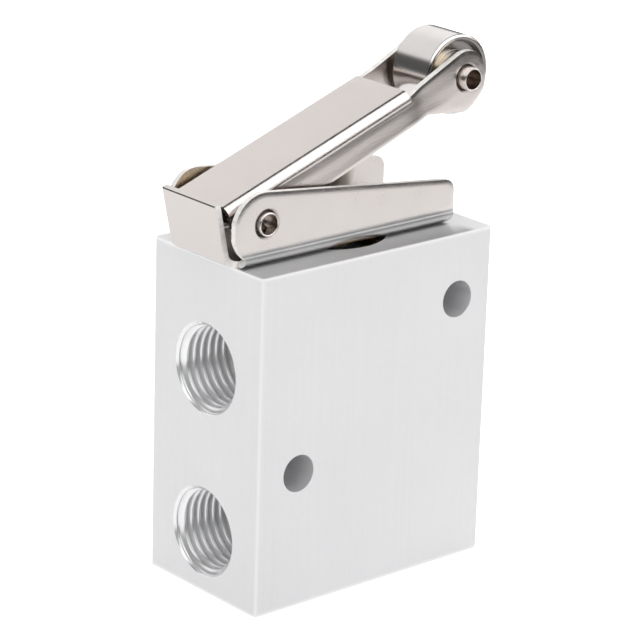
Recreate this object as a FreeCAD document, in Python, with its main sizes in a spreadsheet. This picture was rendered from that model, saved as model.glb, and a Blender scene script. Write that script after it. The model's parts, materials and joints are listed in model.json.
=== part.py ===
"""Roller lever operated 3/2 way pneumatic valve, millimetres, +Z up.

The origin is the centre of the block's bottom face. X runs along the broad face, towards the
side with the single outlet port, and the two ports lie on the -X side. The valve bore, with
its spool, spring, seals and plunger, stands on the Z axis. A pressed steel bracket on the
block's top carries a pressed steel lever, which turns about a pin along Y and holds a roller.
"""
import FreeCAD, Part

import os
import re

import Sketcher

Vector = FreeCAD.Vector

# Driving dimensions: name, value, what it measures.
SIZES = [
    ("block_width", 42.8, "block along X"),
    ("block_depth", 24.2, "block along Y"),
    ("block_height", 50.0, "block along Z"),
    ("block_edge_round", 0.8, "rounding of the four upright edges"),
    ("running_fit", 0.05, "radial clearance of a part that turns or slides"),
    ("seat_gap", 0.05, "clearance of a part that is pushed into the bore"),
    # Ports: G1/4 tap size, with a countersunk mouth
    ("port_radius", 5.72, "thread crest of a port"),
    ("port_mouth_radius", 6.75, "countersunk mouth of a port"),
    ("port_depth", 11.8, "depth of a port's threaded hole"),
    ("port_drill_cone", 1.6, "height of the drill cone at a port's floor"),
    ("port_passage_radius", 2.4, "passage from a port to the bore"),
    ("supply_height", 9.1, "supply port centre above the base"),
    ("outlet_height", 21.4, "outlet port centre above the base"),
    ("exhaust_height", 33.7, "exhaust port centre above the base"),
    # Two clearance holes right through the broad faces
    ("mount_hole_radius", 2.75, "through hole"),
    ("low_hole_x", -14.1, "lower through hole, along X"),
    ("low_hole_height", 20.15, "lower through hole, above the base"),
    ("high_hole_x", 14.9, "upper through hole, along X"),
    ("high_hole_drop", 9.8, "upper through hole, below the top face"),
    # Valve bore
    ("bore_radius", 6.0, "main bore"),
    ("recess_radius", 8.5, "counterbore in the top face"),
    ("recess_depth", 4.0, "counterbore in the top face"),
    ("recess_chamfer", 0.35, "chamfer of the top counterbore"),
    ("plug_bore_radius", 7.5, "counterbore in the bottom face"),
    ("plug_bore_depth", 6.0, "counterbore in the bottom face"),
    ("plug_bore_chamfer", 0.5, "chamfer of the bottom counterbore"),
    # Bottom plug
    ("plug_flange_height", 4.5, "threaded part of the plug, flush with the bottom face"),
    ("plug_nose_radius", 5.9, "nose inside the main bore"),
    ("plug_nose_height", 1.7, "nose above the threaded part"),
    ("plug_key_radius", 1.1, "hole for a pin spanner"),
    ("plug_key_spread", 4.6, "spanner hole from the plug's centre"),
    ("plug_key_depth", 2.2, "hole for a pin spanner"),
    ("plug_cup_radius", 4.15, "spring cup in the plug"),
    ("plug_cup_depth", 2.5, "spring cup in the plug"),
    ("plug_seal_section", 1.4, "plug seal thickness"),
    # Spool, seals and cages
    ("spool_radius", 3.97, "spool lands"),
    ("spool_nose_radius", 2.75, "nose inside the spring"),
    ("spool_nose_height", 1.5, "nose inside the spring"),
    ("spool_foot", 11.0, "spring shoulder of the spool above the base"),
    ("spool_stand_up", 2.2, "top of the spool above the top counterbore's floor"),
    ("waist_radius", 2.4, "waist that lets air pass"),
    ("lap", 1.2, "land overlap on the supply seal at rest"),
    ("lead", 2.4, "waist past the exhaust seal at rest"),
    ("waist_taper", 0.8, "height of each cone beside the waist"),
    ("ring_section", 1.9, "thickness of a spool seal"),
    ("ring_bed", 2.0, "room between two cages for a spool seal"),
    ("lower_ring_height", 15.2, "seal between supply and outlet, above the base"),
    ("middle_ring_height", 27.4, "seal between outlet and exhaust, above the base"),
    ("upper_ring_drop", 6.0, "seal above the exhaust, below the top counterbore's floor"),
    ("cage_wall", 1.55, "cage wall at its ends"),
    ("cage_groove_depth", 0.75, "groove round a cage"),
    ("cage_rim", 1.3, "height of each end rim of a cage"),
    ("cage_window", 3.0, "square window in a cage"),
    # Return spring
    ("spring_wire", 0.8, "wire diameter"),
    ("spring_radius", 3.4, "mean coil radius"),
    ("spring_turns", 3.5, "turns"),
    # Guide bush, wiper and retaining ring in the top counterbore
    ("bush_flange_height", 2.4, "flange of the guide bush"),
    ("bush_seal_section", 1.2, "seal round the guide bush"),
    ("bush_seal_drop", 2.5, "seal centre below the flange"),
    ("wiper_width", 1.6, "wiper ring, radially"),
    ("wiper_height", 1.4, "wiper ring"),
    ("clip_thickness", 0.9, "retaining ring"),
    ("clip_bite", 0.5, "depth of the ring's groove"),
    ("clip_width", 1.5, "retaining ring, radially"),
    ("clip_gap", 4.0, "opening of the retaining ring"),
    # Plunger
    ("plunger_radius", 3.97, "steel pin above the spool"),
    ("dome_radius", 6.0, "domed top of the plunger"),
    ("touch_gap", 0.12, "plunger to lever at rest"),
    # Bracket, pressed from sheet
    ("bracket_sheet", 1.0, "sheet thickness"),
    ("bracket_half_width", 8.1, "outer half width over the ears"),
    ("bracket_bend", 2.0, "outer bend radius of the ears"),
    ("bracket_reach", 17.25, "end of the ears, along +X"),
    ("ear_round", 5.05, "rounded end of an ear"),
    ("ear_centre_x", -18.1, "centre of an ear's rounded end, along X"),
    ("ear_centre_lift", 5.65, "centre of an ear's rounded end, above the block"),
    ("ear_slope", 6.5, "fall of an ear's top edge, degrees"),
    ("ear_foot", 21.0, "start of an ear's foot, along -X"),
    ("ear_tip_round", 1.8, "upper corner of an ear's end"),
    ("ear_heel_round", 1.1, "lower corner of an ear's end"),
    ("plunger_hole_gap", 0.6, "bracket hole round the plunger, radially"),
    ("flap_half_width", 6.15, "end flap"),
    ("flap_bend_x", 21.1, "start of the flap's bend, along -X"),
    ("flap_bend", 2.2, "outer bend radius of the flap"),
    ("flap_lean", 12.0, "flap leaning outwards, degrees"),
    ("flap_length", 7.66, "straight part of the flap"),
    ("flap_overlap", 3.0, "flap strip that runs into the base plate"),
    ("trim_spare", 2.0, "blank left round an outline before it is trimmed"),
    # Lever, pressed from sheet
    ("pivot_x", -17.55, "pivot pin, along X"),
    ("pivot_lift", 6.2, "pivot pin above the block"),
    ("web_angle", 19.6, "lever web above level at rest, degrees"),
    ("lever_sheet", 1.0, "sheet thickness"),
    ("lever_half_width", 6.4, "outer half width of the channel"),
    ("fork_half_width", 5.8, "outer half width of the fork that holds the roller"),
    ("fork_narrowing", 2.5, "length in which the arms draw in from channel to fork"),
    ("lever_bend", 1.6, "outer bend radius of the web"),
    ("web_rise", 4.2, "web top above the pivot, square to the web"),
    ("web_end", 30.2, "end of the web from the pivot"),
    ("tail_length", 4.25, "web behind the pivot"),
    ("tail_foot", 0.8, "lower corner of the web's rear end, above the pivot"),
    ("heel_round", 4.2, "arm's round below the pivot"),
    ("arm_edge_start", 3.9, "start of the arm's lower edge from the pivot"),
    ("arm_edge_low", 1.5, "arm's lower edge below the pivot, near it"),
    ("arm_edge_high", 0.85, "arm's lower edge below the pivot, at the web's end"),
    ("arm_edge_far", 1.25, "arm's lower edge below the pivot, at the roller eye"),
    ("neck_round", 2.0, "hollow between arm and roller eye"),
    ("eye_round", 3.95, "rounded end of an arm round the roller pin"),
    ("eye_slope", 6.9, "rise of the arm's top edge beyond the web, degrees"),
    ("roller_reach", 41.07, "roller pin from the pivot, along the web"),
    ("roller_rise", 0.72, "roller pin from the pivot, square to the web"),
    # Pins: drilled at both ends
    ("pin_radius", 1.95, "pivot pin and roller pin"),
    ("pin_end_radius", 1.7, "turned down end of a pin"),
    ("pin_end_sink", 0.5, "turned down end's start below the sheet's outer face"),
    ("pin_drill_radius", 1.45, "blind hole in a pin's end"),
    ("pin_drill_depth", 2.6, "blind hole in a pin's end"),
    ("pivot_pin_stand_out", 0.5, "pivot pin beyond the bracket"),
    ("roller_pin_stand_out", 1.4, "roller pin beyond the lever"),
    ("pin_chamfer", 0.1, "edge of a pin"),
    ("pin_hole_chamfer", 0.2, "chamfer of a pin's hole in the outer face"),
    # Roller with its bush and side washers
    ("roller_radius", 5.9, "roller"),
    ("roller_half_width", 3.85, "roller"),
    ("roller_chamfer", 0.3, "roller's outer edges"),
    ("roller_rim", 0.75, "rim beside the turned recess"),
    ("roller_recess", 1.1, "depth of the turned recess"),
    ("roller_recess_flare", 0.35, "how far the recess narrows towards its floor"),
    ("roller_hub_radius", 3.4, "hub inside the recess"),
    ("roller_bush_wall", 0.8, "bearing bush wall"),
    ("washer_radius", 3.8, "side washer"),
    ("washer_gap", 0.1, "washer clear of the roller and of the arm"),
    ("washer_edge", 0.25, "washer's outer chamfer"),
    # Screws that hold the bracket to the block
    ("screw_spread", 13.0, "screw from the bore axis, along X"),
    ("screw_radius", 1.5, "thread"),
    ("screw_length", 6.0, "under the head"),
    ("screw_head_radius", 2.75, "head"),
    ("screw_head_height", 1.9, "head"),
    ("screw_head_dome", 0.5, "cone on the head"),
    ("screw_socket_across", 2.0, "hexagon socket across flats"),
    ("screw_socket_depth", 1.2, "hexagon socket"),
    ("screw_hole_gap", 0.2, "bracket hole round a screw, radially"),
    ("screw_tip_gap", 1.0, "tapped hole beyond the screw"),
    ("screw_washer_radius", 3.0, "washer under the head"),
    ("screw_washer_height", 0.5, "washer under the head"),
]

# Lengths and places that follow from the driving dimensions.
DERIVED = {
    "half_width": "block_width / 2",
    "half_depth": "block_depth / 2",
    "recess_floor": "(block_height - recess_depth)",
    "high_hole_height": "(block_height - high_hole_drop)",
    "upper_ring_height": "(block_height - recess_depth - upper_ring_drop)",
    "spool_top": "(block_height - recess_depth + spool_stand_up)",
    "pivot_height": "(block_height + pivot_lift)",
    "ear_centre_height": "(block_height + ear_centre_lift)",
    "plug_top": "(plug_flange_height + plug_nose_height)",
    "cup_floor": "(plug_flange_height + plug_nose_height - plug_cup_depth)",
    "waist_bottom": "(lower_ring_height + lap)",
    "waist_top": "(middle_ring_height + lead)",
    "ring_radius": "((bore_radius + spool_radius) / 2)",
    "flange_top": "(block_height - recess_depth + bush_flange_height)",
    "bush_seal_height": "(block_height - recess_depth - bush_seal_drop)",
    "clip_top": "(block_height - recess_depth + bush_flange_height + clip_thickness)",
    "plate_top": "(block_height + bracket_sheet)",
    "washer_top": "(block_height + bracket_sheet + screw_washer_height)",
    "web_under": "(web_rise - lever_sheet)",
    "dome_centre": "(pivot_height + (web_under - dome_radius - touch_gap) / cos(web_angle)"
                   " - pivot_x * tan(web_angle))",
    "dome_edge": "(dome_centre + sqrt(dome_radius ^ 2 - plunger_radius ^ 2))",
    "roller_x": "(pivot_x + roller_reach * cos(web_angle) - roller_rise * sin(web_angle))",
    "roller_height": "(pivot_height + roller_reach * sin(web_angle) + roller_rise * cos(web_angle))",
    "arm_inner": "(lever_half_width - lever_sheet)",
    "fork_inner": "(fork_half_width - lever_sheet)",
    "ear_inner": "(bracket_half_width - bracket_sheet)",
    "pin_hole_radius": "(pin_radius + running_fit)",
    "bush_outer": "(pin_radius + running_fit + roller_bush_wall)",
}
WORD = re.compile(r"[a-z][a-z_]*[a-z]")
SIZE_NAMES = {name for name, value, meaning in SIZES}


def formula(text):
    """Spell derived lengths out and point every size at the spreadsheet."""
    def spelled(match):
        word = match.group(0)
        if word in DERIVED:
            return formula(DERIVED[word])
        return "sizes." + word if word in SIZE_NAMES else word
    return WORD.sub(spelled, str(text))


doc = FreeCAD.newDocument("roller_lever_valve")
sheet = doc.addObject("Spreadsheet::Sheet", "sizes")
for row, (name, value, meaning) in enumerate(SIZES, start=1):
    sheet.set("A%d" % row, name)
    sheet.set("B%d" % row, str(value))
    sheet.set("C%d" % row, meaning)
    sheet.setAlias("B%d" % row, name)
doc.recompute()


def number(text):
    """The present value of a formula."""
    value = sheet.evalExpression(formula(text))
    return float(getattr(value, "Value", value))


def bind(obj, **formulas):
    for prop, text in formulas.items():
        obj.setExpression(prop, formula(text))
    return obj


def new_body(label):
    body = doc.addObject("PartDesign::Body", label)
    body.Label = label
    return body


def new_sketch(body, name, plane, offset=None):
    """A sketch on one of the body's own origin planes, or moved along its normal."""
    sketch = body.newObject("Sketcher::SketchObject", name)
    support = [item for item in body.Origin.OriginFeatures if item.Role == plane + "_Plane"][0]
    sketch.AttachmentSupport = (support, "")
    sketch.MapMode = "FlatFace"
    if offset is not None:
        sketch.setExpression("AttachmentOffset.Base.z", formula(offset))
    return sketch


def set_place(sketch, index, end, across, up):
    """Bind one point of a sketch to its two coordinates."""
    for kind, text in (("DistanceX", across), ("DistanceY", up)):
        at = sketch.addConstraint(Sketcher.Constraint(kind, -1, 1, index, end, number(text)))
        sketch.setExpression("Constraints[%d]" % at, formula(text))


def draw_outline(sketch, corners):
    """Close an outline through corners (across, up).

    A corner may end in (radius, centre across, centre up): the edge that leaves it is then
    an arc of that radius, anticlockwise round the centre, or clockwise if a fourth value says so.
    """
    first = sketch.GeometryCount
    count = len(corners)
    spots = [Vector(number(corner[0]), number(corner[1]), 0) for corner in corners]
    for index, corner in enumerate(corners):
        here, there = spots[index], spots[(index + 1) % count]
        if len(corner) == 2:
            sketch.addGeometry(Part.LineSegment(here, there), False)
            continue
        radius, across, up = corner[2][:3]
        centre = Vector(number(across), number(up), 0)
        circle = Part.Circle(centre, Vector(0, 0, 1), number(radius))
        if len(corner[2]) > 3:
            here, there = there, here
        sketch.addGeometry(Part.ArcOfCircle(circle, circle.parameter(here),
                                            circle.parameter(there)), False)
    backwards = [len(corner) > 2 and len(corner[2]) > 3 for corner in corners]
    for index, corner in enumerate(corners):
        follower = (index + 1) % count
        end = 1 if backwards[index] else 2
        start = 2 if backwards[follower] else 1
        sketch.addConstraint(Sketcher.Constraint("Coincident", first + index, end,
                                                 first + follower, start))
        own_start = 2 if backwards[index] else 1
        set_place(sketch, first + index, own_start, corner[0], corner[1])
        if len(corner) > 2:
            at = sketch.addConstraint(Sketcher.Constraint("Radius", first + index,
                                                          number(corner[2][0])))
            sketch.setExpression("Constraints[%d]" % at, formula(corner[2][0]))


def draw_circle(sketch, across, up, radius):
    centre = Vector(number(across), number(up), 0)
    index = sketch.addGeometry(Part.Circle(centre, Vector(0, 0, 1), number(radius)), False)
    set_place(sketch, index, 3, across, up)
    at = sketch.addConstraint(Sketcher.Constraint("Radius", index, number(radius)))
    sketch.setExpression("Constraints[%d]" % at, formula(radius))


def draw_hexagon(sketch, across_flats):
    """A hexagon about the origin with two corners on the sketch's own horizontal axis."""
    corner = "%s / sqrt(3)" % across_flats
    draw_outline(sketch, [("%s * cos(%d)" % (corner, turn), "%s * sin(%d)" % (corner, turn))
                          for turn in range(0, 360, 60)])


def add_feature(body, kind, name, sketch):
    feature = body.newObject("PartDesign::" + kind, name)
    feature.Profile = sketch
    sketch.Visibility = False
    return feature


def pad(body, name, sketch, length, both_ways=True):
    feature = add_feature(body, "Pad", name, sketch)
    if both_ways:
        feature.SideType = "Symmetric"
    bind(feature, Length=length)
    return feature


def pocket_through(body, name, sketch):
    feature = add_feature(body, "Pocket", name, sketch)
    feature.SideType = "Symmetric"
    feature.Type = "ThroughAll"
    return feature


def pocket(body, name, sketch, depth, reverse=False):
    feature = add_feature(body, "Pocket", name, sketch)
    feature.Reversed = reverse
    bind(feature, Length=depth)
    return feature


def turn(body, name, corners, cut=False, axis_up=None):
    """Revolve an outline (radius, height) about Z, or (along, up) about a level line."""
    sketch = new_sketch(body, name + "_outline", "XZ")
    if axis_up is not None:
        centre_line = Part.LineSegment(Vector(0, number(axis_up), 0), Vector(1, number(axis_up), 0))
        index = sketch.addGeometry(centre_line, True)
        sketch.addConstraint(Sketcher.Constraint("Horizontal", index))
        set_place(sketch, index, 1, 0, axis_up)
    draw_outline(sketch, corners)
    feature = add_feature(body, "Groove" if cut else "Revolution", name, sketch)
    feature.ReferenceAxis = (sketch, ["V_Axis" if axis_up is None else "Axis0"])
    feature.Angle = 360
    return feature


def turned(label, corners):
    body = new_body(label)
    turn(body, label + "_turned", corners)
    return body


def lay_along_y(body, x, z):
    """Turn a body's own Z axis to +Y and put it at (x, z)."""
    body.Placement = FreeCAD.Placement(Vector(0, 0, 0), FreeCAD.Rotation(Vector(1, 0, 0), -90))
    body.setExpression("Placement.Base.x", formula(x))
    body.setExpression("Placement.Base.z", formula(z))
    return body


def ring_of_rubber(label, ring_radius, section, height):
    """A sealing ring of square section."""
    return turned(label, [("%s %s %s / 2" % (ring_radius, across, section),
                           "%s %s %s / 2" % (height, up, section))
                          for across, up in ("--", "+-", "++", "-+")])


def fillet_where(body, name, radius, chosen):
    """Round the edges of the body's last feature that a test picks by their midpoint."""
    doc.recompute()
    base = body.Tip
    names = ["Edge%d" % (index + 1) for index, edge in enumerate(base.Shape.Edges)
             if chosen(edge, edge.valueAt((edge.FirstParameter + edge.LastParameter) / 2))]
    feature = body.newObject("PartDesign::Fillet", name)
    feature.Base = (base, names)
    bind(feature, Radius=radius)
    return feature


def is_along(edge, direction):
    """Whether an edge is straight and runs along a direction."""
    if not isinstance(edge.Curve, Part.Line):
        return False
    return abs(abs(edge.Curve.Direction.dot(direction)) - 1) < 1e-6


# Block: drawn bar, bored from both ends, drilled for ports, screws and the two through holes

def port_outline(side, height):
    """Half section of a port's hole, from the face inwards, side is -1 or +1 along X."""
    face = "%d * half_width" % side
    return [("%s + %d" % (face, side), height),
            ("%s + %d" % (face, side), "%s + port_mouth_radius" % height),
            (face, "%s + port_mouth_radius" % height),
            ("%s - %d * (port_mouth_radius - port_radius)" % (face, side),
             "%s + port_radius" % height),
            ("%s - %d * port_depth" % (face, side), "%s + port_radius" % height),
            ("%s - %d * (port_depth + port_drill_cone)" % (face, side),
             "%s + port_passage_radius" % height),
            ("0", "%s + port_passage_radius" % height),
            ("0", height)]


def make_valve_body():
    body = new_body("valve_body")
    section = new_sketch(body, "block_section", "XY")
    draw_outline(section, [("-half_width", "-half_depth"), ("half_width", "-half_depth"),
                           ("half_width", "half_depth"), ("-half_width", "half_depth")])
    pad(body, "block", section, "block_height", both_ways=False)
    upright = Vector(0, 0, 1)
    fillet_where(body, "block_edges", "block_edge_round", lambda edge, spot: is_along(edge, upright))
    turn(body, "valve_bore", [
        ("0", "-1"),
        ("plug_bore_radius + plug_bore_chamfer", "-1"),
        ("plug_bore_radius + plug_bore_chamfer", "0"),
        ("plug_bore_radius", "plug_bore_chamfer"),
        ("plug_bore_radius", "plug_bore_depth"),
        ("bore_radius", "plug_bore_depth"),
        ("bore_radius", "recess_floor"),
        ("recess_radius", "recess_floor"),
        ("recess_radius", "flange_top"),
        ("recess_radius + clip_bite", "flange_top"),
        ("recess_radius + clip_bite", "clip_top"),
        ("recess_radius", "clip_top"),
        ("recess_radius", "block_height - recess_chamfer"),
        ("recess_radius + recess_chamfer", "block_height"),
        ("recess_radius + recess_chamfer", "block_height + 1"),
        ("0", "block_height + 1")], cut=True)
    for label, side, height in (("supply_port", -1, "supply_height"),
                                ("exhaust_port", -1, "exhaust_height"),
                                ("outlet_port", 1, "outlet_height")):
        turn(body, label, port_outline(side, height), cut=True, axis_up=height)
    holes = new_sketch(body, "through_hole_places", "XZ")
    draw_circle(holes, "low_hole_x", "low_hole_height", "mount_hole_radius")
    draw_circle(holes, "high_hole_x", "high_hole_height", "mount_hole_radius")
    pocket_through(body, "through_holes", holes)
    taps = new_sketch(body, "screw_hole_places", "XY", offset="block_height")
    for side in ("-", ""):
        draw_circle(taps, side + "screw_spread", "0", "screw_radius + seat_gap")
    pocket(body, "screw_holes", taps,
           "screw_length + screw_tip_gap - bracket_sheet - screw_washer_height")
    return body


# What the bore holds, from the bottom up

def make_bottom_plug():
    body = turned("bottom_plug", [
        ("0", "0"),
        ("plug_bore_radius - seat_gap - plug_bore_chamfer", "0"),
        ("plug_bore_radius - seat_gap", "plug_bore_chamfer"),
        ("plug_bore_radius - seat_gap", "plug_flange_height"),
        ("plug_nose_radius", "plug_flange_height"),
        ("plug_nose_radius", "plug_top"),
        ("plug_cup_radius", "plug_top"),
        ("plug_cup_radius", "cup_floor"),
        ("0", "cup_floor")])
    keys = new_sketch(body, "spanner_hole_places", "XY")
    for way in ("-", ""):
        draw_circle(keys, way + "plug_key_spread", "0", "plug_key_radius")
    pocket(body, "spanner_holes", keys, "plug_key_depth", reverse=True)
    return body


def make_cage(label, bottom, top):
    """A ring between two seals: thin in the middle, with windows that let the air through."""
    outer = "bore_radius - seat_gap"
    inner = "bore_radius - seat_gap - cage_wall"
    groove = "bore_radius - seat_gap - cage_groove_depth"
    body = turned(label, [
        (inner, bottom), (outer, bottom), (outer, "%s + cage_rim" % bottom),
        (groove, "%s + cage_rim" % bottom), (groove, "%s - cage_rim" % top),
        (outer, "%s - cage_rim" % top), (outer, top), (inner, top)])
    for plane in ("XZ", "YZ"):
        windows = new_sketch(body, "%s_window_%s" % (label, plane.lower()), plane)
        low = "(%s + %s - cage_window) / 2" % (bottom, top)
        high = low + " + cage_window"
        draw_outline(windows, [("-cage_window / 2", low), ("cage_window / 2", low),
                               ("cage_window / 2", high), ("-cage_window / 2", high)])
        pocket_through(body, "%s_windows_%s" % (label, plane.lower()), windows)
    return body


def make_cages():
    half_bed = "ring_bed / 2"
    return [make_cage("supply_cage", "plug_top", "(lower_ring_height - %s)" % half_bed),
            make_cage("outlet_cage", "(lower_ring_height + %s)" % half_bed,
                      "(middle_ring_height - %s)" % half_bed),
            make_cage("exhaust_cage", "(middle_ring_height + %s)" % half_bed,
                      "(upper_ring_height - %s)" % half_bed)]


def make_seals():
    across = "(bore_radius - seat_gap / 2 - ring_section / 2)"
    seals = [ring_of_rubber(label + "_spool_seal", across, "ring_section", label + "_ring_height")
             for label in ("lower", "middle", "upper")]
    seals.append(ring_of_rubber("bottom_plug_seal", "(plug_nose_radius + plug_bore_radius) / 2",
                                "plug_seal_section", "(plug_flange_height + plug_bore_depth) / 2"))
    seals.append(ring_of_rubber("guide_bush_seal",
                                "(bore_radius - seat_gap / 2 - bush_seal_section / 2)",
                                "bush_seal_section", "bush_seal_height"))
    return seals


def make_spool():
    return turned("spool", [
        ("0", "spool_foot - spool_nose_height"),
        ("spool_nose_radius", "spool_foot - spool_nose_height"),
        ("spool_nose_radius", "spool_foot"),
        ("spool_radius", "spool_foot"),
        ("spool_radius", "waist_bottom"),
        ("waist_radius", "waist_bottom + waist_taper"),
        ("waist_radius", "waist_top - waist_taper"),
        ("spool_radius", "waist_top"),
        ("spool_radius", "spool_top"),
        ("0", "spool_top")])


def make_return_spring():
    coil = doc.addObject("Part::Helix", "spring_coil")
    rise = "(spool_foot - cup_floor - spring_wire)"
    bind(coil, Radius="spring_radius", Height=rise, Pitch="%s / spring_turns" % rise)
    coil.setExpression("Placement.Base.z", formula("cup_floor + spring_wire / 2"))
    wire = doc.addObject("Part::RegularPolygon", "spring_wire_section")
    wire.Polygon = 6
    bind(wire, Circumradius="spring_wire / 2")
    wire.Placement = FreeCAD.Placement(Vector(0, 0, 0), FreeCAD.Rotation(Vector(1, 0, 0), 90))
    wire.setExpression("Placement.Base.x", formula("spring_radius"))
    wire.setExpression("Placement.Base.z", formula("cup_floor + spring_wire / 2"))
    doc.recompute()
    spring = doc.addObject("Part::Sweep", "return_spring")
    spring.Label = "return_spring"
    spring.Sections = [wire]
    spring.Spine = (coil, ["Edge%d" % (index + 1) for index in range(len(coil.Shape.Edges))])
    spring.Solid = True
    spring.Frenet = True
    return spring


def make_guide_bush():
    outer = "bore_radius - seat_gap"
    hole = "plunger_radius + running_fit"
    bed = "bore_radius - seat_gap / 2 - bush_seal_section"
    half_bed = "(bush_seal_section / 2 + seat_gap)"
    bottom = "(upper_ring_height + ring_bed / 2)"
    pocket_floor = "(flange_top - wiper_height)"
    return turned("guide_bush", [
        (hole, bottom), (outer, bottom),
        (outer, "bush_seal_height - %s" % half_bed),
        (bed, "bush_seal_height - %s" % half_bed),
        (bed, "bush_seal_height + %s" % half_bed),
        (outer, "bush_seal_height + %s" % half_bed),
        (outer, "recess_floor"),
        ("recess_radius - seat_gap", "recess_floor"),
        ("recess_radius - seat_gap", "flange_top"),
        ("plunger_radius + running_fit + wiper_width + seat_gap", "flange_top"),
        ("plunger_radius + running_fit + wiper_width + seat_gap", pocket_floor),
        (hole, pocket_floor)])


def make_plunger_wiper():
    """Rubber ring with a lip that stands up round the plunger."""
    inner = "plunger_radius + running_fit"
    return turned("plunger_wiper", [
        (inner, "flange_top - wiper_height"),
        (inner + " + wiper_width", "flange_top - wiper_height"),
        (inner + " + wiper_width", "flange_top"),
        (inner + " + wiper_width / 2", "flange_top"),
        (inner + " + wiper_width / 4", "flange_top + wiper_height / 4"),
        (inner, "flange_top + wiper_height / 4")])


def make_retaining_ring():
    outer = "(recess_radius + clip_bite - seat_gap)"
    body = turned("retaining_ring", [
        (outer + " - clip_width", "flange_top"), (outer, "flange_top"),
        (outer, "clip_top - seat_gap"), (outer + " - clip_width", "clip_top - seat_gap")])
    opening = new_sketch(body, "ring_opening", "XY", offset="flange_top")
    draw_outline(opening, [("0", "-clip_gap / 2"), ("recess_radius + clip_bite", "-clip_gap / 2"),
                           ("recess_radius + clip_bite", "clip_gap / 2"), ("0", "clip_gap / 2")])
    pocket_through(body, "ring_gap", opening)
    return body


def make_plunger():
    """Steel pin that stands on the spool, with a domed top that the lever presses."""
    return turned("plunger", [
        ("0", "spool_top"),
        ("plunger_radius", "spool_top"),
        ("plunger_radius", "dome_edge", ("dome_radius", "0", "dome_centre")),
        ("0", "dome_centre + dome_radius")])


# Bracket: a channel with two ears, and a flap at its end

def make_lever_bracket():
    body = new_body("lever_bracket")
    tall = "(ear_centre_height + ear_round + trim_spare)"
    corner = "(bracket_half_width - bracket_bend)"
    inner_bend = "(bracket_bend - bracket_sheet)"
    section = new_sketch(body, "channel_section", "YZ", offset="(bracket_reach - ear_foot) / 2")
    draw_outline(section, [
        ("-" + corner, "block_height"),
        (corner, "block_height", ("bracket_bend", corner, "block_height + bracket_bend")),
        ("bracket_half_width", "block_height + bracket_bend"),
        ("bracket_half_width", tall), ("ear_inner", tall),
        ("ear_inner", "block_height + bracket_bend",
         (inner_bend, corner, "block_height + bracket_bend", "clockwise")),
        (corner, "plate_top"),
        ("-" + corner, "plate_top",
         (inner_bend, "-" + corner, "block_height + bracket_bend", "clockwise")),
        ("-ear_inner", "block_height + bracket_bend"),
        ("-ear_inner", tall), ("-bracket_half_width", tall),
        ("-bracket_half_width", "block_height + bracket_bend",
         ("bracket_bend", "-" + corner, "block_height + bracket_bend"))])
    pad(body, "channel", section, "bracket_reach + ear_foot + 2 * trim_spare")

    side = new_sketch(body, "ear_outline", "XZ")
    far = "(2 * block_width)"
    tangent_x = "(ear_centre_x + ear_round * sin(ear_slope))"
    tangent_z = "(ear_centre_height + ear_round * cos(ear_slope))"
    foot_z = "(ear_centre_height - sqrt(ear_round ^ 2 - (ear_foot + ear_centre_x) ^ 2))"
    draw_outline(side, [("-" + far, "0"), (far, "0"), (far, "2 * block_height"),
                        ("-" + far, "2 * block_height")])
    draw_outline(side, [
        ("-ear_foot", "block_height"),
        ("bracket_reach - ear_heel_round", "block_height",
         ("ear_heel_round", "bracket_reach - ear_heel_round", "block_height + ear_heel_round")),
        ("bracket_reach", "block_height + ear_heel_round"),
        ("bracket_reach", "%s - (bracket_reach - %s) * tan(ear_slope)" % (tangent_z, tangent_x)),
        (tangent_x, tangent_z, ("ear_round", "ear_centre_x", "ear_centre_height")),
        ("-ear_foot", foot_z)])
    pocket_through(body, "ear_trim", side)

    across = Vector(0, 1, 0)
    tip_height = number("block_height + ear_heel_round") + 0.1
    end = number("bracket_reach")
    fillet_where(body, "ear_tips", "ear_tip_round", lambda edge, spot: is_along(edge, across)
                 and abs(spot.x - end) < 0.01 and spot.z > tip_height)

    strip = new_sketch(body, "flap_section", "XZ")
    lean_x, lean_z = "cos(flap_lean)", "sin(flap_lean)"
    bend_z = "(block_height + flap_bend)"
    inner = "(flap_bend - bracket_sheet)"
    outer_foot = ("-flap_bend_x - flap_bend * " + lean_x, bend_z + " - flap_bend * " + lean_z)
    inner_foot = ("-flap_bend_x - %s * %s" % (inner, lean_x), "%s - %s * %s" % (bend_z, inner, lean_z))
    draw_outline(strip, [
        ("flap_overlap - flap_bend_x", "block_height"),
        ("flap_overlap - flap_bend_x", "plate_top"),
        ("-flap_bend_x", "plate_top", (inner, "-flap_bend_x", bend_z, "clockwise")),
        inner_foot,
        (inner_foot[0] + " - flap_length * " + lean_z, inner_foot[1] + " + flap_length * " + lean_x),
        (outer_foot[0] + " - flap_length * " + lean_z, outer_foot[1] + " + flap_length * " + lean_x),
        outer_foot + (("flap_bend", "-flap_bend_x", bend_z),),
        ("-flap_bend_x", "block_height")])
    pad(body, "flap", strip, "2 * flap_half_width")

    holes = new_sketch(body, "plate_holes", "XY", offset="block_height")
    draw_circle(holes, "0", "0", "plunger_radius + plunger_hole_gap")
    for way in ("-", ""):
        draw_circle(holes, way + "screw_spread", "0", "screw_radius + screw_hole_gap")
    pocket(body, "plate_openings", holes, "bracket_sheet + 1", reverse=True)
    pin_holes(body, "pivot_holes_bracket", "pivot_x", "pivot_height", "bracket_half_width")
    return body


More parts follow.
